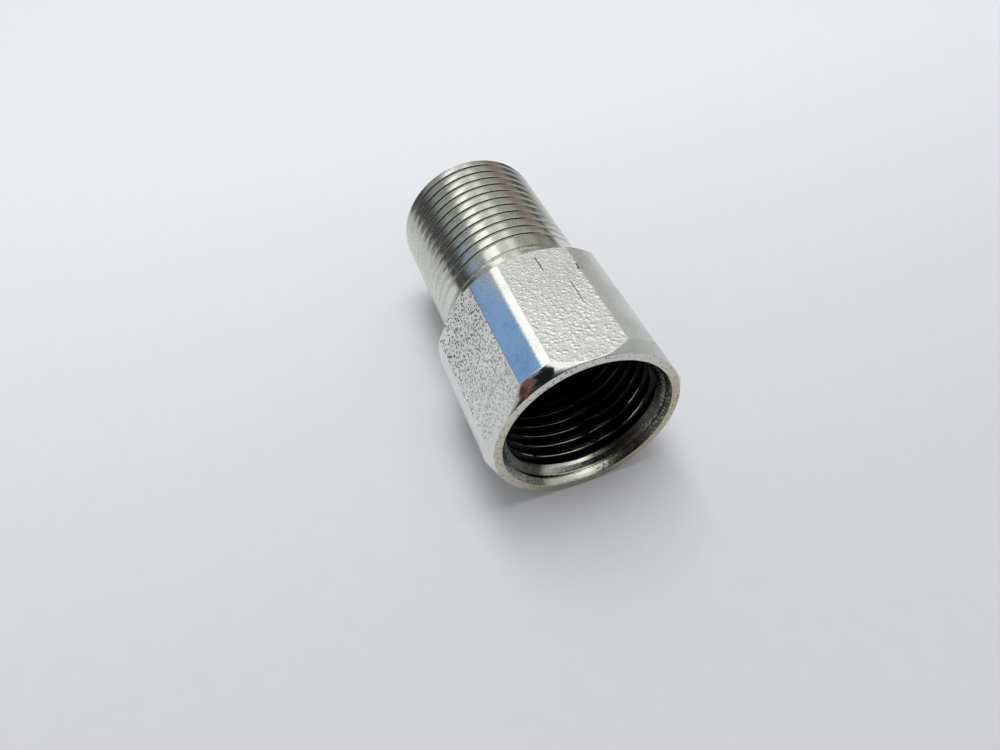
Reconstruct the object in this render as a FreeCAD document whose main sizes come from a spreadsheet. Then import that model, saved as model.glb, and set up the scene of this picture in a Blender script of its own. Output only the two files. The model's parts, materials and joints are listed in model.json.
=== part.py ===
import FreeCAD, Part
import math
import os
import Sketcher
from FreeCAD import Vector

# Extension adapter, turned in one piece from hexagon bar: a G 3/8 female mouth in the
# hexagon and a G 3/8 male stem behind it, with one bore through both.
# +X is the common axis, out of the female mouth, and +Z is square to the upper flat.
# The origin is on the axis, in the plane of the shoulder that seats on the mating port.
# Both threads are plain here: the female hole has its crest diameter and so has the stem.
# Lengths are in millimetres and angles in degrees.

SIZES = [
    # Hexagon body
    ("across_flats", 19.0, "width of the hexagon over two opposite flats"),
    ("flat_count", 6, "number of wrench flats"),
    ("body_len", 15.5, "shoulder to the mouth face"),
    ("land_rise", 0.65, "how far the turned lands between the flats stand above them"),
    ("mouth_edge", 0.05, "how far the mouth face ends inside the flats"),
    ("mouth_ring", 0.85, "width of the mouth face, around the countersink"),
    ("mouth_chamfer_len", 1.1, "length of the outer chamfer at the mouth"),
    # Female side
    ("female_minor_dia", 15.1, "crests of the female thread, the hole before tapping"),
    ("female_depth", 13.0, "depth of that hole at full diameter, from the mouth face"),
    ("countersink_half_angle", 30.0, "wall of the countersink at the mouth, against the axis"),
    ("drill_half_angle", 59.0, "cone at the bottom of that hole against the axis"),
    ("bore_dia", 11.0, "bore through the male stem"),
    # Male side
    ("stem_len", 19.0, "shoulder to the tip of the male stem"),
    ("male_major_dia", 16.45, "crests of the male thread"),
    ("neck_len", 1.8, "plain neck between the shoulder and the thread"),
    ("neck_drop", 0.225, "how far the neck lies below the thread's crests"),
    ("neck_corner", 0.3, "45 degree corner between the neck and the shoulder"),
    ("shoulder_ring", 0.7, "width of the shoulder face, from that corner to its chamfer"),
    ("neck_step_len", 0.4, "slope from the neck up to the thread's crests"),
    ("tip_chamfer_len", 0.7, "length of the lead-in chamfer at the tip"),
    ("tip_chamfer_drop", 0.675, "how far that chamfer falls below the thread's crests"),
    ("tip_bore_chamfer", 0.5, "45 degree chamfer inside the bore at the tip"),
]


def add_sizes(doc):
    """The driving dimensions: one row each, with its value, its alias and what it is."""
    sheet = doc.addObject("Spreadsheet::Sheet", "sizes")
    for row, (alias, value, note) in enumerate(SIZES, start=1):
        sheet.set(f"A{row}", alias)
        sheet.set(f"B{row}", str(value))
        sheet.set(f"C{row}", note)
        sheet.setAlias(f"B{row}", alias)
    doc.recompute()
    return sheet


def origin_feature(body, role):
    """One of the body's own origin planes or axes."""
    return next(feature for feature in body.Origin.OriginFeatures if feature.Role == role)


def add_sketch(body, name, role):
    sketch = body.newObject("Sketcher::SketchObject", name)
    sketch.AttachmentSupport = [(origin_feature(body, role), "")]
    sketch.MapMode = "FlatFace"
    return sketch


def add_outline(sketch, corners):
    """A closed outline: each corner is bound to the expressions for its two coordinates.

    corners is a list of (name, across, up), both expressions of the sheet's values.
    """
    evaluate = sketch.evalExpression
    points = [Vector(float(evaluate(across)), float(evaluate(up)), 0) for _, across, up in corners]
    lines = [
        sketch.addGeometry(Part.LineSegment(start, end), False)
        for start, end in zip(points, points[1:] + points[:1])
    ]
    for line, after in zip(lines, lines[1:] + lines[:1]):
        sketch.addConstraint(Sketcher.Constraint("Coincident", line, 2, after, 1))
    for line, point, (name, across, up) in zip(lines, points, corners):
        for kind, label, size, text in (
            ("DistanceX", "across", point.x, across),
            ("DistanceY", "up", point.y, up),
        ):
            index = sketch.addConstraint(Sketcher.Constraint(kind, -1, 1, line, 1, size))
            sketch.renameConstraint(index, f"{name}_{label}")
            sketch.setExpression(f"Constraints.{name}_{label}", text)


def add_turned_blank(body):
    """Half section above the axis, as the lathe leaves it, turned right round."""
    sketch = add_sketch(body, "half_section", "XZ_Plane")
    land = "sizes.across_flats / 2 + sizes.land_rise"
    hole = "sizes.female_minor_dia / 2"
    bore = "sizes.bore_dia / 2"
    crest = "sizes.male_major_dia / 2"
    neck = f"{crest} - sizes.neck_drop"
    shoulder_inner = f"{neck} + sizes.neck_corner"
    shoulder_outer = f"{shoulder_inner} + sizes.shoulder_ring"
    mouth_outer = "sizes.across_flats / 2 - sizes.mouth_edge"
    mouth_inner = f"{mouth_outer} - sizes.mouth_ring"
    hole_end = "sizes.body_len - sizes.female_depth"
    countersink_len = f"({mouth_inner} - {hole}) / tan(sizes.countersink_half_angle * 1deg)"
    drill_point_len = f"({hole} - {bore}) / tan(sizes.drill_half_angle * 1deg)"
    add_outline(sketch, [
        ("mouth_inner", "sizes.body_len", mouth_inner),
        ("mouth_outer", "sizes.body_len", mouth_outer),
        ("land_front", "sizes.body_len - sizes.mouth_chamfer_len", land),
        ("land_back", f"{land} - ({shoulder_outer})", land),
        ("shoulder_outer", "0", shoulder_outer),
        ("shoulder_inner", "0", shoulder_inner),
        ("neck_front", "-sizes.neck_corner", neck),
        ("neck_back", "-sizes.neck_len", neck),
        ("thread_front", "-sizes.neck_len - sizes.neck_step_len", crest),
        ("thread_back", "-sizes.stem_len + sizes.tip_chamfer_len", crest),
        ("tip_outer", "-sizes.stem_len", f"{crest} - sizes.tip_chamfer_drop"),
        ("tip_inner", "-sizes.stem_len", f"{bore} + sizes.tip_bore_chamfer"),
        ("bore_back", "-sizes.stem_len + sizes.tip_bore_chamfer", bore),
        ("bore_front", f"{hole_end} - {drill_point_len}", bore),
        ("hole_back", hole_end, hole),
        ("hole_front", f"sizes.body_len - {countersink_len}", hole),
    ])
    blank = body.newObject("PartDesign::Revolution", "turned_blank")
    blank.Profile = sketch
    blank.ReferenceAxis = (sketch, ["H_Axis"])
    blank.Angle = 360
    body.Document.recompute()
    return blank


def add_wrench_flats(body):
    """One flat cut into the turned body, from the shoulder to the mouth, then all six."""
    sketch = add_sketch(body, "flat_outline", "YZ_Plane")
    flat_height = "sizes.across_flats / 2"
    clear = "sizes.across_flats / 2 + 2 * sizes.land_rise"
    add_outline(sketch, [
        ("lower_left", f"-({clear})", flat_height),
        ("lower_right", clear, flat_height),
        ("upper_right", clear, clear),
        ("upper_left", f"-({clear})", clear),
    ])
    flat = body.newObject("PartDesign::Pocket", "upper_flat")
    flat.Profile = sketch
    flat.Reversed = True
    flat.setExpression("Length", "sizes.body_len")
    body.Document.recompute()
    flats = body.newObject("PartDesign::PolarPattern", "wrench_flats")
    flats.Originals = [flat]
    flats.Axis = (origin_feature(body, "X_Axis"), [""])
    flats.Angle = 360
    flats.setExpression("Occurrences", "sizes.flat_count")
    body.Tip = flats
    body.Document.recompute()
    return flats


def plain_flats_volume(sheet):
    """What the flats would take off the lands' cylinder if it had no chamfers."""
    flat_height = sheet.across_flats / 2
    radius = flat_height + sheet.land_rise
    half_angle = math.acos(flat_height / radius)
    segment = radius**2 * half_angle - flat_height * radius * math.sin(half_angle)
    return sheet.flat_count * segment * sheet.body_len


def add_adapter(doc, sheet):
    body = doc.addObject("PartDesign::Body", "adapter_body")
    body.Label = "adapter_body"
    body.Placement = FreeCAD.Placement()
    blank = add_turned_blank(body)
    flats = add_wrench_flats(body)
    cut = blank.Shape.Volume - flats.Shape.Volume
    plain = plain_flats_volume(sheet)
    if not 0.5 * plain < cut < plain:
        raise RuntimeError(f"the wrench flats took off {cut:.1f} of {plain:.1f} cubic mm")
    return body


def check(doc, pieces):
    """Every object computed, and every piece is one valid solid."""
    failed = [item.Name for item in doc.Objects if {"Invalid", "Error"} & set(item.State)]
    if failed:
        raise RuntimeError(f"failed objects: {failed}")
    for piece in pieces:
        shape = piece.Shape
        if shape.isNull() or not shape.isValid() or len(shape.Solids) != 1:
            raise RuntimeError(f"{piece.Label} isn't one valid solid")


def write_steps(pieces):
    os.makedirs("parts", exist_ok=True)
    for piece in pieces:
        piece.Shape.exportStep(f"parts/{piece.Label}.step")
        box = piece.Shape.optimalBoundingBox(True, False)
        size = f"{box.XLength:.2f} x {box.YLength:.2f} x {box.ZLength:.2f} mm"
        print(f"{piece.Label}: {size}, {piece.Shape.Volume:.1f} cubic mm")


def main():
    doc = FreeCAD.newDocument("extension_adapter")
    sheet = add_sizes(doc)
    pieces = [add_adapter(doc, sheet)]
    doc.recompute()
    check(doc, pieces)
    write_steps(pieces)


main()
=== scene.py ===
import bmesh
import bpy
import json
import math
from mathutils import Matrix, Vector


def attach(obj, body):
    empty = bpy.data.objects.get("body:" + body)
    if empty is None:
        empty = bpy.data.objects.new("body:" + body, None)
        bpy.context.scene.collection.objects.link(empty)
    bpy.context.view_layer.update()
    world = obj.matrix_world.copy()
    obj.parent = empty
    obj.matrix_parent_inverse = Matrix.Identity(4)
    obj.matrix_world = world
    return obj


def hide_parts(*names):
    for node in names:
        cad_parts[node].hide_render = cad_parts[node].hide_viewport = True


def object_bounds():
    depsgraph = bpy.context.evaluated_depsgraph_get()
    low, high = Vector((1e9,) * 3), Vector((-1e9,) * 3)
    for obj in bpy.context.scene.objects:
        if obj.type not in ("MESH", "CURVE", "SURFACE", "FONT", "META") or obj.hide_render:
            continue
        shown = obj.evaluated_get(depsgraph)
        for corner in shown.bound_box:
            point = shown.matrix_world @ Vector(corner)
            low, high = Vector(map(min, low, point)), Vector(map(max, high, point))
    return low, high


# Looks of a zinc-plated extension adapter: a hexagon with a tapped mouth and a threaded stem.
# The outline is worked in millimetres along the axis, +X out of the mouth, and scaled at the end.
# Angles round the axis are counted from +Z towards +Y, in degrees.

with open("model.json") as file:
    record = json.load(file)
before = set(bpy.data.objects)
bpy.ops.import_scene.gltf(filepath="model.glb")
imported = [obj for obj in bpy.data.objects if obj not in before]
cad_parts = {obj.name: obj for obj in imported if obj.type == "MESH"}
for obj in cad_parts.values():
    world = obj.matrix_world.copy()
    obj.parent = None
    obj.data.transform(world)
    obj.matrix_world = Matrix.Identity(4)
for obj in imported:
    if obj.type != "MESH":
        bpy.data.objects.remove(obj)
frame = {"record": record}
cad_low, cad_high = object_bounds()

MM = 0.001
RECORD = frame["record"]
MOUNTS = {mount["name"]: mount for mount in RECORD["mounts"]}

# Sizes of the solid, in millimetres
MOUTH_X = cad_high.x / MM
TIP_X = cad_low.x / MM
LAND_R = cad_high.y / MM
FLAT_R = cad_high.z / MM
STEM_R = MOUNTS["male_thread"]["dims"]["r_mm"]
HOLE_R = MOUNTS["female_thread"]["dims"]["r_mm"]
BORE_R = MOUNTS["through_bore"]["dims"]["r_mm"]
FLAT_COUNT = 6
MOUTH_OUTER_R = FLAT_R - 0.05
MOUTH_INNER_R = MOUTH_OUTER_R - 0.85
MOUTH_CHAMFER = 1.1
SHOULDER_R = 9.0
NECK_R = STEM_R - 0.225
NECK_CORNER = 0.3
NECK_END = -1.95
STEM_START = -2.05
STEM_END = TIP_X + 0.7
TIP_R = STEM_R - 0.675
TIP_INNER_R = BORE_R + 0.5
HOLE_END = MOUTH_X - 13.0
DRILL_END = HOLE_END - (HOLE_R - BORE_R) / math.tan(math.radians(59))
SINK_SLOPE = math.tan(math.radians(30))
SINK_END = MOUTH_X - (MOUTH_INNER_R - HOLE_R) / SINK_SLOPE
TAPPED_FROM = 15.1
TAPPED_R = MOUTH_INNER_R - (MOUTH_X - TAPPED_FROM) * SINK_SLOPE

# Threads: 19 turns to the inch, with flanks at 27.5 degrees and rounded roots
PITCH = 25.4 / 19
FLANK = math.radians(27.5)
STEM_GROOVE = 0.37
STEM_GROOVE_X = -3.92
STEM_ROOT_ROUND = 0.06
STEM_RUN_OUT = (-2.75, -3.6)
CREST_DOME_R = 14.0
MOUTH_ROOT_R = 8.33
MOUTH_ROOT_ROUND = 0.1373 * PITCH
MOUTH_CREST_ROUND = 0.11
MOUTH_GROOVE_X = 13.867
MOUTH_RUN_OUT = (3.0, 4.0)
CREST_EDGE = 0.05

# How the mesh is turned, cut and shaded
STEPS = 180
SAME_POINT = 0.004
ON_PLANE = 0.0001
FLAT_CUT_FROM_R = 8.8
EDGE_BREAK = 0.04
EDGE_BREAK_FROM_R = 8.9
EDGE_BREAK_ANGLE = math.radians(14)
MOUTH_EDGE_CLEAR = 0.05
SHARP_ANGLE = math.radians(26)
LEAST_FLAT_AREA = 40
AT_FACE = 0.01
BORE_MARGIN = 0.3
FACES_OUT = 0.05
BLANK_ZONE, STEM_ZONE, MOUTH_ZONE = 1, 2, 3
FLATS, TURNED, STEM, FACE, INSIDE = range(5)


def along(profile, x):
    """Radius on a straight-sided profile of (x, radius) corners, lowest x first."""
    for (x0, r0), (x1, r1) in zip(profile, profile[1:]):
        if x <= x1:
            return r0 + (r1 - r0) * max(0.0, x - x0) / (x1 - x0)
    return profile[-1][1]


def smooth(value):
    value = min(1.0, max(0.0, value))
    return value * value * (3 - 2 * value)


def add_outline(bm, corners):
    """Points joined by edges in the plane y = 0; a corner with a third number is rounded."""
    points = [bm.verts.new((corner[0], 0.0, corner[1])) for corner in corners]
    for start, end in zip(points, points[1:]):
        bm.edges.new((start, end))
    for point, corner in zip(list(points), corners):
        if len(corner) > 2:
            bmesh.ops.bevel(
                bm, geom=[point], offset=corner[2], offset_type="OFFSET", segments=corner[3],
                profile=0.5, affect="VERTICES", material=-1,
            )


def loose_outline(bm):
    """Everything drawn and not yet turned."""
    edges = [edge for edge in bm.edges if not edge.link_faces]
    points = {point for edge in edges for point in edge.verts}
    return list(points) + edges


def turn(bm, zone, rise=0.0):
    """Turn the drawn outline once round the axis, rising by so much along it on the way."""
    layer = bm.verts.layers.int["zone"]
    for point in bm.verts:
        if point[layer] == 0:
            point[layer] = zone
    bmesh.ops.spin(
        bm, geom=loose_outline(bm), cent=(0, 0, 0), axis=(1, 0, 0), dvec=(rise / STEPS, 0, 0),
        angle=2 * math.pi, steps=STEPS, use_merge=rise == 0, use_duplicate=False,
    )


def add_stem_turn(bm, centre_x):
    """One turn of the stem's thread, one pitch wide: a narrow groove between domed crests."""
    half_crest = (PITCH - STEM_GROOVE) / 2
    dome = math.asin(half_crest / CREST_DOME_R)
    knee = CREST_DOME_R * math.tan(dome / 2)
    edge_r = STEM_R - CREST_DOME_R * (1 - math.cos(dome))
    root_r = edge_r - STEM_GROOVE / 2 / math.tan(FLANK)
    start, end = centre_x - PITCH / 2, centre_x + PITCH / 2
    add_outline(bm, [
        (start, STEM_R),
        (start + knee, STEM_R, knee * 0.9, 4),
        (centre_x - STEM_GROOVE / 2, edge_r, CREST_EDGE, 2),
        (centre_x, root_r, STEM_ROOT_ROUND / math.tan(FLANK), 4),
        (centre_x + STEM_GROOVE / 2, edge_r, CREST_EDGE, 2),
        (end - knee, STEM_R, knee * 0.9, 4),
        (end, STEM_R),
    ])
    turn(bm, STEM_ZONE, PITCH)


def add_mouth_turn(bm, centre_x):
    """One turn of the tapped thread, one pitch wide, with its groove in the middle."""
    apex_r = MOUTH_ROOT_R + MOUTH_ROOT_ROUND * (1 / math.sin(FLANK) - 1)
    half_groove = (apex_r - HOLE_R) * math.tan(FLANK)
    add_outline(bm, [
        (centre_x - PITCH / 2, HOLE_R),
        (centre_x - half_groove, HOLE_R, MOUTH_CREST_ROUND, 3),
        (centre_x, apex_r, MOUTH_ROOT_ROUND / math.tan(FLANK), 6),
        (centre_x + half_groove, HOLE_R, MOUTH_CREST_ROUND, 3),
        (centre_x + PITCH / 2, HOLE_R),
    ])
    turn(bm, MOUTH_ZONE, PITCH)


def stack_turns(bm, zone, count):
    """Copies of a thread's one turn, each a pitch further along."""
    layer = bm.verts.layers.int["zone"]
    faces = [face for face in bm.faces if all(point[layer] == zone for point in face.verts)]
    for step in range(1, count):
        copy = bmesh.ops.duplicate(bm, geom=faces)["geom"]
        points = [item for item in copy if isinstance(item, bmesh.types.BMVert)]
        bmesh.ops.translate(bm, vec=(step * PITCH, 0, 0), verts=points)


def zone_points(bm, zone):
    layer = bm.verts.layers.int["zone"]
    return [point for point in bm.verts if point[layer] == zone]


def cut_ring(bm, zone, x):
    """A ring of points at x, so that a corner of the turned outline falls on it."""
    points = set(zone_points(bm, zone))
    edges = {edge for point in points for edge in point.link_edges}
    faces = {face for point in points for face in point.link_faces}
    bmesh.ops.bisect_plane(
        bm, geom=list(points | edges | faces), dist=SAME_POINT,
        plane_co=(x, 0, 0), plane_no=(1, 0, 0),
    )


def groove_depth(point, groove_x, run_out):
    """How much of its full depth the groove beside this point has, from 0 to 1."""
    angle = math.degrees(math.atan2(point.co.y, point.co.z))
    centre = groove_x - PITCH * angle / 360
    centre += PITCH * round((point.co.x - centre) / PITCH)
    none, full = run_out
    return smooth((centre - none) / (full - none))


def fit_thread(bm, zone, profile, crest_r, groove_x, run_out):
    """Fade the thread out at its run-out, hold it to the blank's outline and square its ends."""
    side = 1 if zone == STEM_ZONE else -1
    low, high = profile[0][0], profile[-1][0]
    for point in zone_points(bm, zone):
        radius = math.hypot(point.co.y, point.co.z)
        depth = groove_depth(point, groove_x, run_out)
        x = min(max(point.co.x, low), high)
        blank = along(profile, x)
        cut = crest_r + (radius - crest_r) * depth
        wanted = min(cut, blank) if side == 1 else max(cut, blank)
        if x != point.co.x or abs(x - low) < SAME_POINT or abs(x - high) < SAME_POINT:
            wanted = blank
        point.co = (x, point.co.y * wanted / radius, point.co.z * wanted / radius)


def cut_flats(bm):
    """The six wrench flats, each a plane cut through the hexagon's lands and then closed."""
    for number in range(FLAT_COUNT):
        angle = 2 * math.pi * number / FLAT_COUNT
        outward = Vector((0, math.sin(angle), math.cos(angle)))
        outer = {
            point for point in bm.verts
            if math.hypot(point.co.y, point.co.z) > FLAT_CUT_FROM_R
        }
        edges = {edge for point in outer for edge in point.link_edges}
        faces = {face for point in outer for face in point.link_faces}
        cut = bmesh.ops.bisect_plane(
            bm, geom=list(outer | edges | faces), dist=ON_PLANE,
            plane_co=outward * FLAT_R, plane_no=outward, clear_outer=True,
        )["geom_cut"]
        rim = [item for item in cut if isinstance(item, bmesh.types.BMEdge)]
        bmesh.ops.contextual_create(bm, geom=rim)


def break_edges(bm):
    """A narrow bevel on the edges round the flats and lands."""
    edges = []
    for edge in bm.edges:
        outer = all(
            math.hypot(point.co.y, point.co.z) > EDGE_BREAK_FROM_R
            and point.co.x < MOUTH_X - MOUTH_EDGE_CLEAR
            for point in edge.verts
        )
        if outer and edge.is_manifold and edge.calc_face_angle() > EDGE_BREAK_ANGLE:
            edges.append(edge)
    bmesh.ops.bevel(
        bm, geom=edges, offset=EDGE_BREAK, offset_type="OFFSET", segments=2,
        profile=0.5, affect="EDGES", material=-1, clamp_overlap=True,
    )


def finish_of(face):
    """Which finish a face has, from where it lies."""
    centre = face.calc_center_median()
    radius = math.hypot(centre.y, centre.z)
    outward = (face.normal.y * centre.y + face.normal.z * centre.z) / radius
    if face.calc_area() > LEAST_FLAT_AREA:
        return FLATS
    if centre.x > MOUTH_X - AT_FACE:
        return FACE
    if radius < TIP_INNER_R + BORE_MARGIN or (outward < FACES_OUT and centre.x > 0):
        return INSIDE
    if centre.x < -NECK_CORNER:
        return STEM
    return TURNED


def build_adapter():
    """The whole adapter as one closed mesh, in metres."""
    bm = bmesh.new()
    bm.verts.layers.int.new("zone")
    add_outline(bm, [
        (NECK_END, NECK_R),
        (-NECK_CORNER, NECK_R, 0.1, 3),
        (0.0, NECK_R + NECK_CORNER, 0.04, 2),
        (0.0, SHOULDER_R),
        (LAND_R - SHOULDER_R, LAND_R),
        (MOUTH_X - MOUTH_CHAMFER, LAND_R),
        (MOUTH_X, MOUTH_OUTER_R, 0.03, 2),
        (MOUTH_X, MOUTH_INNER_R, 0.07, 3),
        (TAPPED_FROM, TAPPED_R),
    ])
    add_outline(bm, [
        (HOLE_END, HOLE_R),
        (DRILL_END, BORE_R, 0.1, 3),
        (TIP_X + TIP_INNER_R - BORE_R, BORE_R, 0.06, 2),
        (TIP_X, TIP_INNER_R, 0.06, 2),
        (TIP_X, TIP_R),
    ])
    turn(bm, BLANK_ZONE)
    stem_from = STEM_GROOVE_X - PITCH * math.ceil((STEM_GROOVE_X - TIP_X) / PITCH + 1)
    mouth_from = MOUTH_GROOVE_X - PITCH * math.ceil((MOUTH_GROOVE_X - HOLE_END) / PITCH + 1)
    add_stem_turn(bm, stem_from)
    add_mouth_turn(bm, mouth_from)
    stack_turns(bm, STEM_ZONE, math.ceil((NECK_END - stem_from) / PITCH + 1))
    stack_turns(bm, MOUTH_ZONE, math.ceil((TAPPED_FROM - mouth_from) / PITCH + 1))
    bmesh.ops.remove_doubles(bm, verts=bm.verts, dist=SAME_POINT)
    cut_ring(bm, STEM_ZONE, STEM_START)
    cut_ring(bm, STEM_ZONE, STEM_END)
    cut_ring(bm, MOUTH_ZONE, SINK_END)
    stem_blank = [(TIP_X, TIP_R), (STEM_END, STEM_R), (STEM_START, STEM_R), (NECK_END, NECK_R)]
    hole_blank = [(HOLE_END, HOLE_R), (SINK_END, HOLE_R), (TAPPED_FROM, TAPPED_R)]
    fit_thread(bm, STEM_ZONE, stem_blank, STEM_R, STEM_GROOVE_X, STEM_RUN_OUT)
    fit_thread(bm, MOUTH_ZONE, hole_blank, HOLE_R, MOUTH_GROOVE_X, MOUTH_RUN_OUT)
    bmesh.ops.remove_doubles(bm, verts=bm.verts, dist=SAME_POINT)
    cut_flats(bm)
    bmesh.ops.recalc_face_normals(bm, faces=bm.faces)
    break_edges(bm)
    for face in bm.faces:
        face.smooth = True
        face.material_index = finish_of(face)
    for edge in bm.edges:
        edge.smooth = edge.calc_face_angle(0) < SHARP_ANGLE
    bmesh.ops.scale(bm, vec=(MM, MM, MM), verts=bm.verts)
    mesh = bpy.data.meshes.new("adapter")
    bm.to_mesh(mesh)
    bm.free()
    adapter = bpy.data.objects.new("adapter", mesh)
    bpy.context.scene.collection.objects.link(adapter)
    weighted = adapter.modifiers.new("even shading", "WEIGHTED_NORMAL")
    weighted.keep_sharp = True
    return adapter


# Materials

def add_node(tree, kind, values=(), **settings):
    """A node with its settings, and each value either set on its socket or linked to it."""
    node = tree.nodes.new(kind)
    for name, value in settings.items():
        setattr(node, name, value)
    for key, value in (values.items() if isinstance(values, dict) else enumerate(values)):
        socket = node.inputs[key]
        if isinstance(value, bpy.types.NodeSocket):
            tree.links.new(value, socket)
        elif value is not None:
            socket.default_value = value
    return node


def maths(tree, operation, *values):
    return add_node(tree, "ShaderNodeMath", values, operation=operation).outputs[0]


def vector_maths(tree, operation, values):
    """The two outputs of a vector maths node: the vector, then the plain value."""
    return add_node(tree, "ShaderNodeVectorMath", values, operation=operation).outputs


def root_of_squares(tree, first, second):
    """The length across two square distances."""
    squares = [maths(tree, "POWER", value, 2.0) for value in (first, second)]
    return maths(tree, "SQRT", maths(tree, "ADD", *squares))


def fade(tree, value, start, end, low=0.0, high=1.0):
    """Low at start and high at end, smooth between and level outside."""
    return add_node(tree, "ShaderNodeMapRange", {
        "Value": value, "From Min": start, "From Max": end, "To Min": low, "To Max": high,
    }, interpolation_type="SMOOTHSTEP").outputs[0]


def blend(tree, share, first, second):
    """From the first colour to the second as share goes from 0 to 1."""
    colours = {0: share, 6: first, 7: second}
    return add_node(tree, "ShaderNodeMix", colours, data_type="RGBA").outputs[2]


def in_mm(tree):
    """The object's own coordinates in millimetres: the vector, x, y, z and the radius."""
    coordinates = add_node(tree, "ShaderNodeTexCoord").outputs["Object"]
    enlarge = {"Vector": coordinates, "Scale": (1 / MM, 1 / MM, 1 / MM)}
    place = add_node(tree, "ShaderNodeMapping", enlarge).outputs[0]
    x, y, z = add_node(tree, "ShaderNodeSeparateXYZ", [place]).outputs
    return place, x, y, z, root_of_squares(tree, y, z)


def noise(tree, vector, scale, detail=2.0, roughness=0.5):
    values = {"Vector": vector, "Scale": scale, "Detail": detail, "Roughness": roughness}
    return add_node(tree, "ShaderNodeTexNoise", values).outputs[0]


def stretched(tree, *terms):
    """A place whose three (value, scale) terms set how drawn out a pattern on it is."""
    scaled = [maths(tree, "MULTIPLY", value, scale) for value, scale in terms]
    return add_node(tree, "ShaderNodeCombineXYZ", scaled).outputs[0]


def new_group(name, inputs, outputs):
    """An empty shader node group; inputs are (name, kind, value) and outputs (name, kind)."""
    tree = bpy.data.node_groups.new(name, "ShaderNodeTree")
    new_socket = tree.interface.new_socket
    for label, kind, value in inputs:
        socket = new_socket(name=label, in_out="INPUT", socket_type=f"NodeSocket{kind}")
        socket.default_value = value
    for label, kind in outputs:
        new_socket(name=label, in_out="OUTPUT", socket_type=f"NodeSocket{kind}")
    given = tree.nodes.new("NodeGroupInput").outputs
    result = tree.nodes.new("NodeGroupOutput").inputs
    return tree, given, result


def finish_group(tree, sockets, results):
    for label, value in results.items():
        tree.links.new(value, sockets[label])
    return tree


def grain_group():
    """Crystals of the plating: a fine height, a speckle and slow clouds, all round 0.5."""
    tree, given, result = new_group(
        "plating_grain", [("Size", "Float", 0.1)],
        [("Height", "Float"), ("Speckle", "Float"), ("Cloud", "Float")],
    )
    vector = in_mm(tree)[0]
    fine = maths(tree, "DIVIDE", 1.0, given["Size"])
    return finish_group(tree, result, {
        "Height": noise(tree, vector, fine, 3.0, 0.6),
        "Speckle": noise(tree, vector, maths(tree, "MULTIPLY", fine, 0.45), 3.0, 0.7),
        "Cloud": noise(tree, vector, 0.35, 3.0, 0.55),
    })


def blister_group():
    """Scattered round spots: the height of each dome from 0 to 1, and where the spots are.

    Place is the flat surface's own coordinate in millimetres.
    """
    tree, given, result = new_group(
        "plating_blisters",
        [("Place", "Vector", (0, 0, 0)), ("Spacing", "Float", 0.6),
         ("Size", "Float", 0.4), ("Cover", "Float", 0.8)],
        [("Height", "Float"), ("Mask", "Float")],
    )
    vector = given["Place"]
    scale = maths(tree, "DIVIDE", 1.0, given["Spacing"])
    warp_scale = maths(tree, "MULTIPLY", scale, 2.2)
    warp = add_node(tree, "ShaderNodeTexNoise", {"Vector": vector, "Scale": warp_scale}).outputs[1]
    warp = vector_maths(tree, "SUBTRACT", [warp, (0.5, 0.5, 0.5)])[0]
    reach = maths(tree, "MULTIPLY", given["Spacing"], 0.55)
    warp = vector_maths(tree, "SCALE", {0: warp, "Scale": reach})[0]
    bent = vector_maths(tree, "ADD", [vector, warp])[0]
    cells = add_node(
        tree, "ShaderNodeTexVoronoi", {"Vector": bent, "Scale": scale}, voronoi_dimensions="2D",
    )
    chance, spread, _ = add_node(tree, "ShaderNodeSeparateColor", [cells.outputs["Color"]]).outputs
    size = maths(tree, "MULTIPLY", given["Size"], maths(tree, "MULTIPLY_ADD", spread, 0.8, 0.6))
    away = maths(tree, "DIVIDE", cells.outputs["Distance"], size)
    dome = maths(tree, "SUBTRACT", 1.0, maths(tree, "POWER", away, 2.0))
    dome = maths(tree, "MAXIMUM", dome, 0.0)
    dome = maths(tree, "MULTIPLY", dome, maths(tree, "LESS_THAN", chance, given["Cover"]))
    return finish_group(tree, result, {"Height": dome, "Mask": fade(tree, dome, 0.0, 0.5)})


def turning_group():
    """Fine lines left by turning, round the axis: Facing 0 on a barrel, 1 on an end face."""
    tree, given, result = new_group(
        "turning_lines",
        [("Spacing", "Float", 0.1), ("Facing", "Float", 0.0)],
        [("Height", "Float")],
    )
    _, x, y, z, radius = in_mm(tree)
    across = add_node(tree, "ShaderNodeMix", {0: given["Facing"], 2: x, 3: radius}).outputs[0]
    place = add_node(tree, "ShaderNodeCombineXYZ", [
        maths(tree, "DIVIDE", across, given["Spacing"]),
        maths(tree, "MULTIPLY", y, 0.55),
        maths(tree, "MULTIPLY", z, 0.55),
    ]).outputs[0]
    return finish_group(tree, result, {"Height": noise(tree, place, 1.0, 3.0, 0.6)})


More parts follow.
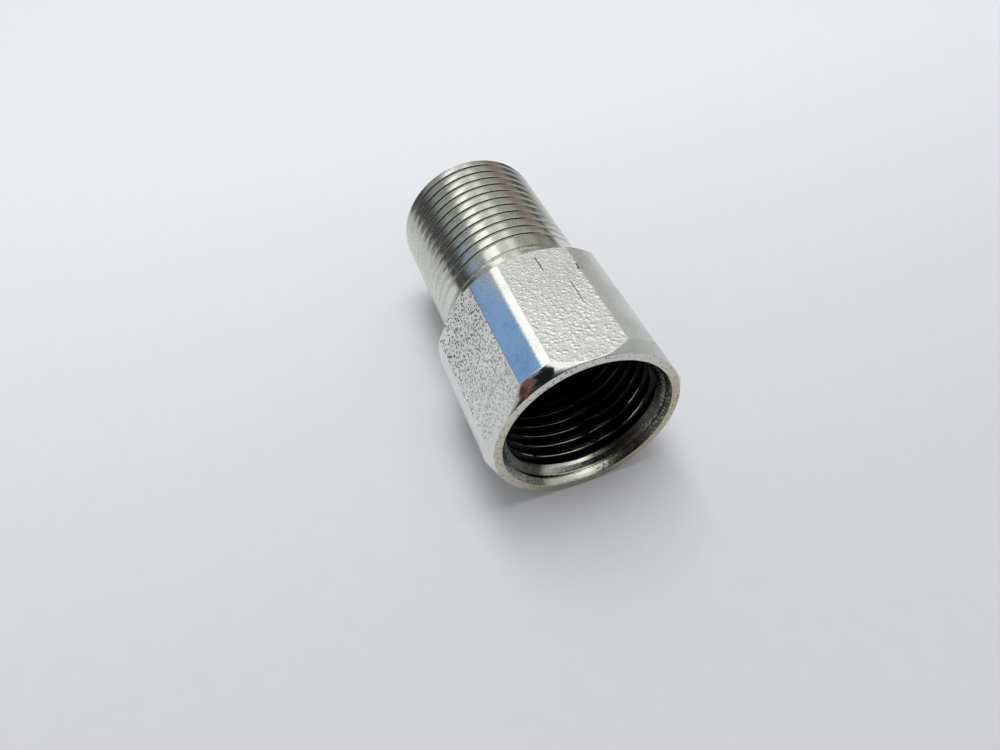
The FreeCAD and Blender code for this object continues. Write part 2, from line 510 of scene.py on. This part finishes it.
def mark_group():
    """One scratch or nick, given by its middle and direction in millimetres."""
    tree, given, result = new_group(
        "single_mark",
        [("Middle", "Vector", (0, 0, 0)), ("Along", "Vector", (1, 0, 0)),
         ("Length", "Float", 1.0), ("Width", "Float", 0.1)],
        [("Mask", "Float")],
    )
    vector = in_mm(tree)[0]
    shake = add_node(tree, "ShaderNodeTexNoise", {"Vector": vector, "Scale": 2.5}).outputs[1]
    shake = vector_maths(tree, "SUBTRACT", [shake, (0.5, 0.5, 0.5)])[0]
    shake = vector_maths(tree, "SCALE", {0: shake, "Scale": 0.3})[0]
    offset = vector_maths(tree, "SUBTRACT", [vector, given["Middle"]])[0]
    offset = vector_maths(tree, "ADD", [offset, shake])[0]
    run = vector_maths(tree, "DOT_PRODUCT", [offset, given["Along"]])[1]
    on_line = vector_maths(tree, "SCALE", {0: given["Along"], "Scale": run})[0]
    off_line = vector_maths(tree, "SUBTRACT", [offset, on_line])[0]
    away = vector_maths(tree, "LENGTH", [off_line])[1]
    half_width = maths(tree, "MULTIPLY", given["Width"], 0.5)
    half_length = maths(tree, "MULTIPLY", given["Length"], 0.5)
    beside = maths(tree, "DIVIDE", away, half_width)
    beyond = maths(tree, "DIVIDE", maths(tree, "ABSOLUTE", run), half_length)
    mask = maths(tree, "MULTIPLY", fade(tree, beside, 1.3, 0.5), fade(tree, beyond, 1.0, 0.7))
    return finish_group(tree, result, {"Mask": mask})


GROUPS = {
    "grain": grain_group(), "blisters": blister_group(),
    "turning": turning_group(), "mark": mark_group(),
}


def use_group(tree, name, **values):
    """The outputs of one of the groups, placed in a material with its own values."""
    placed = tree.nodes.new("ShaderNodeGroup")
    placed.node_tree = GROUPS[name]
    for label, value in values.items():
        if isinstance(value, bpy.types.NodeSocket):
            tree.links.new(value, placed.inputs[label])
        else:
            placed.inputs[label].default_value = value
    return placed.outputs


def new_material(name, metallic, roughness):
    material = bpy.data.materials.new(name)
    material.use_nodes = True
    shader = material.node_tree.nodes["Principled BSDF"]
    shader.inputs["Metallic"].default_value = metallic
    shader.inputs["Roughness"].default_value = roughness
    return material, material.node_tree, shader


def total(tree, *terms):
    """The sum of (value, weight) terms."""
    result = 0.0
    for value, weight in terms:
        result = maths(tree, "MULTIPLY_ADD", value, weight, result)
    return result


def finish_metal(tree, shader, colour, roughness, height_mm):
    """Link the finish to the shader, with the bump's height in millimetres."""
    tree.links.new(colour, shader.inputs["Base Color"])
    tree.links.new(roughness, shader.inputs["Roughness"])
    bump = add_node(tree, "ShaderNodeBump", {"Height": height_mm, "Distance": MM})
    tree.links.new(bump.outputs[0], shader.inputs["Normal"])


# Colours of the plating
PALE_ZINC = (0.90, 0.91, 0.88, 1)
PALE_ZINC_SHADE = (0.74, 0.75, 0.71, 1)
BLISTER_PAINTED_HIGHLIGHT = (0.98, 0.99, 0.99, 1)
PIT_PAINTED_SHADE = (0.08, 0.075, 0.06, 1)
SCRATCH_BROWN = (0.26, 0.23, 0.12, 1)
NICK_BLACK = (0.03, 0.03, 0.025, 1)
TURNED_ZINC = (0.78, 0.79, 0.775, 1)
TURNED_ZINC_SHADE = (0.66, 0.67, 0.65, 1)
STEM_ZINC = (0.68, 0.69, 0.63, 1)
STEM_ZINC_SHADE = (0.48, 0.49, 0.43, 1)
GROOVE_PAINTED_SHADE = (0.30, 0.30, 0.25, 1)
DULL_ZINC = (0.62, 0.58, 0.43, 1)
DULL_ZINC_SHADE = (0.40, 0.37, 0.28, 1)
FACE_TOP_PAINTED_LIGHT = (0.76, 0.78, 0.75, 1)
FACE_SIDE_PAINTED_LIGHT = (0.76, 0.74, 0.62, 1)
FACE_BOTTOM_PAINTED_SHADE = (0.36, 0.35, 0.25, 1)
BORE_PAINTED_SHADE = (0.013, 0.014, 0.013, 1)
RIDGE_PAINTED_HIGHLIGHT = (0.66, 0.68, 0.60, 1)
SINK_ZINC = (0.56, 0.57, 0.48, 1)
SINK_ZINC_SHADE = (0.10, 0.10, 0.08, 1)
SINK_PAINTED_SHADE = (0.07, 0.07, 0.055, 1)
SINK_DEEP_PAINTED_SHADE = (0.06, 0.06, 0.05, 1)
SINK_PAINTED_SHINE = (0.90, 0.92, 0.80, 1)

# Single marks on the flats: middle, direction, length and width in millimetres
SCRATCHES = [
    ((2.5, 0.25, 9.5), (1, 0, 0), 2.5, 0.14),
    ((7.15, 2.0, 9.5), (1, 0, 0), 3.4, 0.10),
]
NICKS = [
    ((4.15, 3.5, 9.5), (1, 0, 0), 1.0, 0.24),
    ((4.0, -9.73, 2.15), (0.8, 0.3, 0.52), 0.7, 0.22),
    ((0.8, -7.13, 6.66), (0.8, 0.3, 0.52), 0.6, 0.22),
]
FLAT_TURN = 2 * math.pi / FLAT_COUNT
FLAT_SHIFT = 50.0


def any_mark(tree, marks):
    """Where one of these scratches or nicks lies."""
    mask = 0.0
    for middle, direction, length, width in marks:
        mark = use_group(
            tree, "mark", Middle=middle, Along=direction, Length=length, Width=width,
        )
        mask = maths(tree, "MAXIMUM", mark["Mask"], mask)
    return mask


def flat_place(tree, x, y, z, radius):
    """Where a point lies on its own flat, in millimetres, with each flat well off the others."""
    angle = maths(tree, "ARCTAN2", y, z)
    number = maths(tree, "ROUND", maths(tree, "DIVIDE", angle, FLAT_TURN))
    turned = maths(tree, "MULTIPLY_ADD", number, -FLAT_TURN, angle)
    across = maths(tree, "MULTIPLY", radius, maths(tree, "SINE", turned))
    across = maths(tree, "MULTIPLY_ADD", number, FLAT_SHIFT, across)
    return add_node(tree, "ShaderNodeCombineXYZ", [x, across]).outputs[0]


def zinc_flats():
    """The wrench flats: blistered plating on one side of the body, pitted on the other, with the
    blisters painted whiter as a painted highlight and the pits painted dark as painted shade.
    """
    material, tree, shader = new_material("zinc_flats", 1.0, 0.4)
    _, x, y, z, radius = in_mm(tree)
    place = flat_place(tree, x, y, z, radius)
    grain = use_group(tree, "grain", Size=0.09)
    coarse = use_group(tree, "blisters", Place=place, Spacing=0.50, Size=0.37, Cover=0.8)
    lumps = fade(tree, noise(tree, place, 2.3, 2.0, 0.5), 0.50, 0.64)
    lumps = maths(tree, "MULTIPLY", lumps, fade(tree, x, 4.0, 9.0))
    fine = use_group(tree, "blisters", Place=place, Spacing=0.33, Size=0.34, Cover=0.75)
    pits = use_group(tree, "blisters", Place=place, Spacing=0.31, Size=0.34, Cover=0.80)
    pitted = fade(tree, y, -3.8, -4.6)
    blistered = maths(tree, "SUBTRACT", 1.0, pitted)
    coarse_share = maths(tree, "MULTIPLY", blistered, fade(tree, x, 1.0, 7.0, 0.4, 1.0))
    fine_share = maths(tree, "MULTIPLY", blistered, fade(tree, x, 2.0, 12.0, 1.0, 0.3))
    pit_share = maths(tree, "MULTIPLY", pitted, fade(tree, x, 2.0, 15.0, 1.0, 0.45))
    thick_and_thin = fade(tree, noise(tree, place, 1.3), 0.36, 0.55, 0.6, 1.0)
    pit_share = maths(tree, "MULTIPLY", pit_share, thick_and_thin)
    pit_mask = maths(tree, "MULTIPLY", pits["Mask"], pit_share)
    scratch = any_mark(tree, SCRATCHES)
    nick = any_mark(tree, NICKS)
    tone = total(tree, (grain["Speckle"], 1.1), (grain["Cloud"], 0.5))
    lumps = maths(tree, "MULTIPLY", lumps, blistered)
    raised = maths(tree, "MAXIMUM", maths(tree, "MULTIPLY", coarse["Mask"], coarse_share), lumps)
    colour = blend(tree, fade(tree, tone, 0.95, 0.65), PALE_ZINC, PALE_ZINC_SHADE)
    # the blisters and lumps are painted whiter: a painted highlight on the raised spots
    colour = blend(tree, maths(tree, "MULTIPLY", raised, 0.8), colour, BLISTER_PAINTED_HIGHLIGHT)
    # the pits are painted dark: painted shade in the pits
    colour = blend(tree, maths(tree, "MULTIPLY", pit_mask, 0.95), colour, PIT_PAINTED_SHADE)
    colour = blend(tree, scratch, colour, SCRATCH_BROWN)
    colour = blend(tree, nick, colour, NICK_BLACK)
    rough = total(
        tree, (raised, -0.12), (grain["Speckle"], 0.25), (blistered, 0.25), (pitted, 0.24),
    )
    coarse_height = maths(tree, "MULTIPLY", coarse["Height"], coarse_share)
    fine_height = maths(tree, "MULTIPLY", fine["Height"], fine_share)
    height = total(
        tree, (grain["Height"], 0.012), (coarse_height, 0.040), (fine_height, 0.032),
        (pit_mask, -0.10), (lumps, 0.022), (scratch, -0.02), (nick, -0.05),
    )
    finish_metal(tree, shader, colour, rough, height)
    return material


def zinc_turned():
    """Lands, mouth chamfer, shoulder and neck: bright turned metal, more satin on one side."""
    material, tree, shader = new_material("zinc_turned", 1.0, 0.15)
    _, x, y, _, _ = in_mm(tree)
    grain = use_group(tree, "grain", Size=0.12)
    lines = use_group(tree, "turning", Spacing=0.10, Facing=0.0)
    waves = use_group(tree, "turning", Spacing=0.36, Facing=0.0)
    satin = fade(tree, y, 2.0, 3.6)
    tone = total(tree, (grain["Speckle"], 0.8), (grain["Cloud"], 0.8))
    colour = blend(tree, fade(tree, tone, 0.85, 0.6), TURNED_ZINC, TURNED_ZINC_SHADE)
    rough = total(
        tree, (satin, 0.28), (grain["Speckle"], 0.07), (lines["Height"], 0.03),
        (grain["Cloud"], 0.04),
    )
    land_end = MOUTH_X - MOUTH_CHAMFER
    on_land = fade(tree, x, land_end + 0.1, land_end - 0.1)
    height = total(
        tree, (lines["Height"], 0.0025), (maths(tree, "MULTIPLY", waves["Height"], on_land), 0.010),
        (maths(tree, "MULTIPLY", grain["Height"], satin), 0.006),
    )
    finish_metal(tree, shader, colour, rough, height)
    return material


def zinc_stem():
    """The stem's thread: bright but speckled, with rolled grain on the crests and painted shade in
    the grooves.
    """
    material, tree, shader = new_material("zinc_stem", 1.0, 0.2)
    _, x, _, _, radius = in_mm(tree)
    grain = use_group(tree, "grain", Size=0.14)
    lines = use_group(tree, "turning", Spacing=0.16, Facing=0.0)
    in_groove = fade(tree, radius, STEM_R - 0.10, STEM_R - 0.22)
    in_groove = maths(tree, "MULTIPLY", in_groove, fade(tree, x, STEM_START, STEM_START - 0.2))
    tone = total(tree, (grain["Speckle"], 1.0), (grain["Cloud"], 0.5))
    colour = blend(tree, fade(tree, tone, 0.80, 0.50), STEM_ZINC, STEM_ZINC_SHADE)
    # the grooves are painted a darker grey: painted shade in the thread's grooves
    colour = blend(tree, maths(tree, "MULTIPLY", in_groove, 0.3), colour, GROOVE_PAINTED_SHADE)
    rough = total(tree, (grain["Speckle"], 0.22), (grain["Cloud"], 0.04), (in_groove, 0.15))
    height = total(tree, (grain["Height"], 0.0022), (lines["Height"], 0.0015))
    finish_metal(tree, shader, colour, rough, height)
    return material


def zinc_face():
    """The mouth face: dull, yellowish and finely pitted, with painted reflection lighter towards
    the top and on one side and painted shade at the bottom.
    """
    material, tree, shader = new_material("zinc_face", 1.0, 0.45)
    _, _, y, z, _ = in_mm(tree)
    grain = use_group(tree, "grain", Size=0.10)
    lines = use_group(tree, "turning", Spacing=0.12, Facing=1.0)
    place = add_node(tree, "ShaderNodeCombineXYZ", [y, z]).outputs[0]
    pits = use_group(tree, "blisters", Place=place, Spacing=0.40, Size=0.24, Cover=0.5)
    tone = total(tree, (grain["Speckle"], 1.3), (grain["Cloud"], 0.6))
    colour = blend(tree, fade(tree, tone, 1.1, 0.7), DULL_ZINC, DULL_ZINC_SHADE)
    # painted reflection: lighter towards the top and on the -Y side; painted shade at the bottom
    colour = blend(tree, fade(tree, z, 1.0, 8.0, 0.0, 0.8), colour, FACE_TOP_PAINTED_LIGHT)
    colour = blend(tree, fade(tree, y, -3.0, -8.0, 0.0, 0.6), colour, FACE_SIDE_PAINTED_LIGHT)
    colour = blend(tree, fade(tree, z, -7.0, -9.0, 0.0, 0.5), colour, FACE_BOTTOM_PAINTED_SHADE)
    # the face's pits are painted darker: painted shade in the pits
    colour = blend(tree, maths(tree, "MULTIPLY", pits["Mask"], 0.6), colour, PIT_PAINTED_SHADE)
    rough = total(tree, (grain["Speckle"], 0.3), (grain["Cloud"], 0.5))
    height = total(
        tree, (grain["Height"], 0.014), (lines["Height"], 0.010), (pits["Height"], -0.02),
    )
    finish_metal(tree, shader, colour, rough, height)
    return material


def zinc_inside():
    """Countersink, tapped thread and bore: painted shade darkens them away from the mouth, with
    painted highlights on the thread's crests and low in the countersink.
    """
    material, tree, shader = new_material("zinc_inside", 1.0, 0.3)
    _, x, y, z, radius = in_mm(tree)
    grain = use_group(tree, "grain", Size=0.12)
    lines = use_group(tree, "turning", Spacing=0.14, Facing=0.0)
    outer = fade(tree, x, SINK_END - 0.3, SINK_END + 0.2)
    crest = fade(tree, radius, HOLE_R + 0.10, HOLE_R + 0.03)
    side = maths(tree, "DIVIDE", y, radius)
    under = maths(tree, "DIVIDE", z, maths(tree, "MULTIPLY", radius, -1.0))
    place = stretched(tree, (x, 0.9), (side, 2.4), (under, 2.4))
    # painted highlights on the tapped thread's crests, in broken arcs, fading deeper into the hole
    arcs = fade(tree, noise(tree, place, 1.0, 3.0, 0.6), 0.46, 0.60)
    # a painted highlight low in the hole, on the thread's crests and in the countersink
    painted_shine = fade(tree, total(tree, (under, 0.985), (side, -0.17)), 0.91, 0.98)
    arcs = maths(tree, "MAXIMUM", arcs, painted_shine)
    ridge_highlight = maths(tree, "MULTIPLY", maths(tree, "MULTIPLY", crest, fade(tree, x, 5.0, 15.0)), arcs)
    # deep in the hole the colour is near black, a painted shade, with the painted crest highlights
    # over it
    deep = blend(tree, ridge_highlight, BORE_PAINTED_SHADE, RIDGE_PAINTED_HIGHLIGHT)
    spokes = noise(tree, stretched(tree, (x, 1.6), (side, 60.0), (under, 60.0)), 1.0, 2.0, 0.6)
    # the side term paints the countersink darker on the +Y side: painted shade
    tone = total(tree, (grain["Speckle"], 1.3), (spokes, 0.6), (fade(tree, side, 0.1, 0.8), -0.22))
    rim = blend(tree, fade(tree, tone, 1.02, 0.72), SINK_ZINC, SINK_ZINC_SHADE)
    # painted shade on the countersink in two bands either side of its lowest part
    beside = maths(tree, "MULTIPLY", fade(tree, under, 0.96, 0.90), fade(tree, under, 0.5, 0.8))
    rim = blend(tree, maths(tree, "MULTIPLY", beside, 0.7), rim, SINK_PAINTED_SHADE)
    # painted shade darkening the countersink towards the tapped hole
    rim = blend(tree, fade(tree, x, 14.75, 14.4, 0.0, 0.75), rim, SINK_DEEP_PAINTED_SHADE)
    rim = blend(tree, maths(tree, "MULTIPLY", painted_shine, 0.85), rim, SINK_PAINTED_SHINE)
    colour = blend(tree, outer, deep, rim)
    rough = total(tree, (grain["Speckle"], 0.34), (outer, 0.06), (crest, -0.06))
    streaks = maths(tree, "MULTIPLY", spokes, outer)
    height = total(tree, (grain["Height"], 0.018), (lines["Height"], 0.012), (streaks, 0.010))
    finish_metal(tree, shader, colour, rough, height)
    return material


adapter = build_adapter()
for make in (zinc_flats, zinc_turned, zinc_stem, zinc_face, zinc_inside):
    adapter.data.materials.append(make())
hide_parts("adapter_body")
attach(adapter, "root")


# Floor, light and camera

FLOOR_BACK = (0.785, 0.80, 0.825, 1)
FLOOR_FRONT_PAINTED_SHADE = (0.595, 0.60, 0.625, 1)
FLOOR_PAINTED_DARK_REFLECTION = (0.10, 0.10, 0.10, 1)
FLOOR_HALF = 1.5


def add_floor():
    bm = bmesh.new()
    bmesh.ops.create_grid(bm, x_segments=1, y_segments=1, size=FLOOR_HALF)
    bmesh.ops.translate(bm, vec=(0, 0, cad_low.z), verts=bm.verts)
    mesh = bpy.data.meshes.new("floor")
    bm.to_mesh(mesh)
    bm.free()
    floor = bpy.data.objects.new("floor", mesh)
    bpy.context.scene.collection.objects.link(floor)
    material, tree, shader = new_material("pale_floor", 0.0, 0.9)
    vector, x, y, _, _ = in_mm(tree)
    paper = noise(tree, vector, 0.5, 4.0, 0.6)
    # the floor is painted darker towards the front: a painted shade gradient, with a paper texture
    shade = total(tree, (fade(tree, x, -70.0, 50.0), 0.85), (paper, 0.15))
    colour = blend(tree, shade, FLOOR_BACK, FLOOR_FRONT_PAINTED_SHADE)
    backwards = maths(tree, "MULTIPLY", x, -1.0)
    off_axis = maths(tree, "ARCTAN2", maths(tree, "ABSOLUTE", y), backwards)
    off_axis = maths(tree, "DEGREES", off_axis)
    away = root_of_squares(tree, x, y)
    # far off behind the object the floor is painted dark for glossy rays only: a painted reflection
    far = maths(tree, "MULTIPLY", fade(tree, away, 12.0, 125.0), fade(tree, off_axis, 45.0, 40.0))
    mirrored = add_node(tree, "ShaderNodeLightPath").outputs["Is Glossy Ray"]
    colour = blend(tree, maths(tree, "MULTIPLY", far, mirrored), colour, FLOOR_PAINTED_DARK_REFLECTION)
    tree.links.new(colour, shader.inputs["Base Color"])
    floor.data.materials.append(material)


add_floor()

# Cards of light and shade round the object, which only the metal mirrors: name, colour, azimuth,
# height, lean, half width, half height and softness, in degrees. Azimuth is counted from +X
# towards +Y. Lean moves a card sideways as it goes up, and a later card covers an earlier one.
CARDS = [
    ("ceiling", (1.12, 1.13, 1.12), 180, 72, 0, 200, 21, 6),
    ("dark front", (0.04, 0.04, 0.04), -10, 20, 0, 54, 28, 7),
    ("right wall", (0.55, 0.56, 0.53), 101, 14, 0, 35, 22, 4),
    ("light back", (0.78, 0.80, 0.76), 174, 40, 0, 14, 9, 5),
    ("pale card", (1.02, 1.02, 0.98), 167, 42, 0, 3.5, 9, 3),
    ("dark low left", (0.08, 0.085, 0.09), -142, 5, 0, 14, 16, 6),
    ("grey card left", (0.27, 0.29, 0.28), -154, 23, -0.6, 7, 8, 4),
    ("blue card", (0.225, 0.39, 0.65), -135.9, 32, -0.66, 12, 14, 1),
    ("deep blue card", (0.18, 0.33, 0.63), -129, 27, -0.66, 4, 9, 3),
    ("white card", (1.25, 1.25, 1.22), -157.5, 43, 1.6, 13, 9, 2.5),
    ("white glow", (1.5, 1.5, 1.44), -169, 40, 0, 5, 5, 2),
    ("grey card right", (0.42, 0.41, 0.35), 151, 27, 0.5, 6, 7, 4),
    ("brown card right", (0.29, 0.215, 0.18), 144, 14, 0.3, 7, 9, 2.5),
    ("dark low right", (0.085, 0.095, 0.085), 140, 0, 0, 6, 6, 3),
    ("black card front", (0.012, 0.014, 0.016), -43, 45, 0, 15, 12.5, 2),
    ("brown card front", (0.17, 0.085, 0.07), -60, 29, 0, 11, 11, 1),
    ("dark brown card", (0.09, 0.04, 0.035), -63, 24, 0, 8, 5, 3),
    ("grey card side", (0.38, 0.40, 0.35), 75, 28, 0, 10, 12, 4),
    ("bright strip back", (1.9, 1.9, 1.85), 176, 62, 0, 8, 4, 4),
    ("bright strip front", (2.0, 2.0, 1.9), 30, 66, 0, 12, 5, 3),
]
BETWEEN_CARDS = (0.45, 0.46, 0.45, 1)
PLAIN_LIGHT = (0.42, 0.42, 0.42, 1)
BACKGROUND = (0.72, 0.75, 0.78, 1)


def build_world():
    """An even light on the floor, the cards for the metal, and a pale background."""
    world = bpy.data.worlds.new("studio")
    bpy.context.scene.world = world
    world.use_nodes = True
    tree = world.node_tree
    tree.nodes.clear()
    direction = add_node(tree, "ShaderNodeTexCoord").outputs["Generated"]
    x, y, z = add_node(tree, "ShaderNodeSeparateXYZ", [direction]).outputs
    azimuth = maths(tree, "DEGREES", maths(tree, "ARCTAN2", y, x))
    height = maths(tree, "DEGREES", maths(tree, "ARCSINE", z))
    colour = BETWEEN_CARDS
    for _, shade, at_azimuth, at_height, lean, wide, tall, soft in CARDS:
        up = maths(tree, "SUBTRACT", height, float(at_height))
        off = maths(tree, "SUBTRACT", azimuth, float(at_azimuth))
        off = maths(tree, "WRAP", maths(tree, "MULTIPLY_ADD", up, float(-lean), off), 180.0, -180.0)
        beside = fade(tree, maths(tree, "ABSOLUTE", off), wide + soft, wide - soft)
        above = fade(tree, maths(tree, "ABSOLUTE", up), tall + soft, tall - soft)
        colour = blend(tree, maths(tree, "MULTIPLY", beside, above), colour, (*shade, 1))
    path = add_node(tree, "ShaderNodeLightPath").outputs
    colour = blend(tree, path["Is Glossy Ray"], PLAIN_LIGHT, colour)
    light = add_node(tree, "ShaderNodeBackground", [colour])
    seen = add_node(tree, "ShaderNodeBackground", [BACKGROUND])
    both = [path["Is Camera Ray"], light.outputs[0], seen.outputs[0]]
    both = add_node(tree, "ShaderNodeMixShader", both)
    add_node(tree, "ShaderNodeOutputWorld", [both.outputs[0]])


def add_lamp(name, azimuth, height, distance, size, share):
    """A round lamp aimed at the object; share is the part of a white floor's light it gives."""
    flat, up = math.radians(azimuth), math.radians(height)
    place = Vector((math.cos(flat) * math.cos(up), math.sin(flat) * math.cos(up), math.sin(up)))
    lamp = bpy.data.lights.new(name, "AREA")
    lamp.shape = "DISK"
    lamp.size = size
    lamp.energy = share * math.pi ** 2 * distance ** 2 / math.sin(up)
    holder = bpy.data.objects.new(name, lamp)
    bpy.context.scene.collection.objects.link(holder)
    turned = place.to_track_quat("Z", "Y").to_matrix().to_4x4()
    holder.matrix_world = Matrix.Translation(place * distance) @ turned
    holder.visible_glossy = False


build_world()
add_lamp("lamp_behind", 179, 62, 0.45, 0.12, 0.13)
add_lamp("lamp_side", 96, 65, 0.45, 0.15, 0.035)
add_lamp("soft_top", 180, 84, 0.7, 0.42, 0.55)


# Where the photograph was taken from, fitted to the object's edges in it
CAMERA_PLACE = Vector((51.696, -20.650, 54.788))
CAMERA_RIGHT = Vector((0.349722, 0.936390, -0.029455))
CAMERA_DOWN = Vector((0.698989, -0.281734, -0.657298))
CAMERA_FORWARD = Vector((-0.623786, 0.209283, -0.753055))
CAMERA_LENS = 26.34


def add_camera():
    camera = bpy.data.cameras.new("camera")
    camera.sensor_fit = "HORIZONTAL"
    camera.sensor_width = 36
    camera.lens = CAMERA_LENS
    camera.clip_start = 0.002
    camera.clip_end = 10
    holder = bpy.data.objects.new("camera", camera)
    bpy.context.scene.collection.objects.link(holder)
    turned = Matrix((CAMERA_RIGHT, -CAMERA_DOWN, -CAMERA_FORWARD)).transposed().to_4x4()
    holder.matrix_world = Matrix.Translation(CAMERA_PLACE * MM) @ turned
    bpy.context.scene.camera = holder


add_camera()
bpy.context.scene.view_settings.view_transform = "Standard"
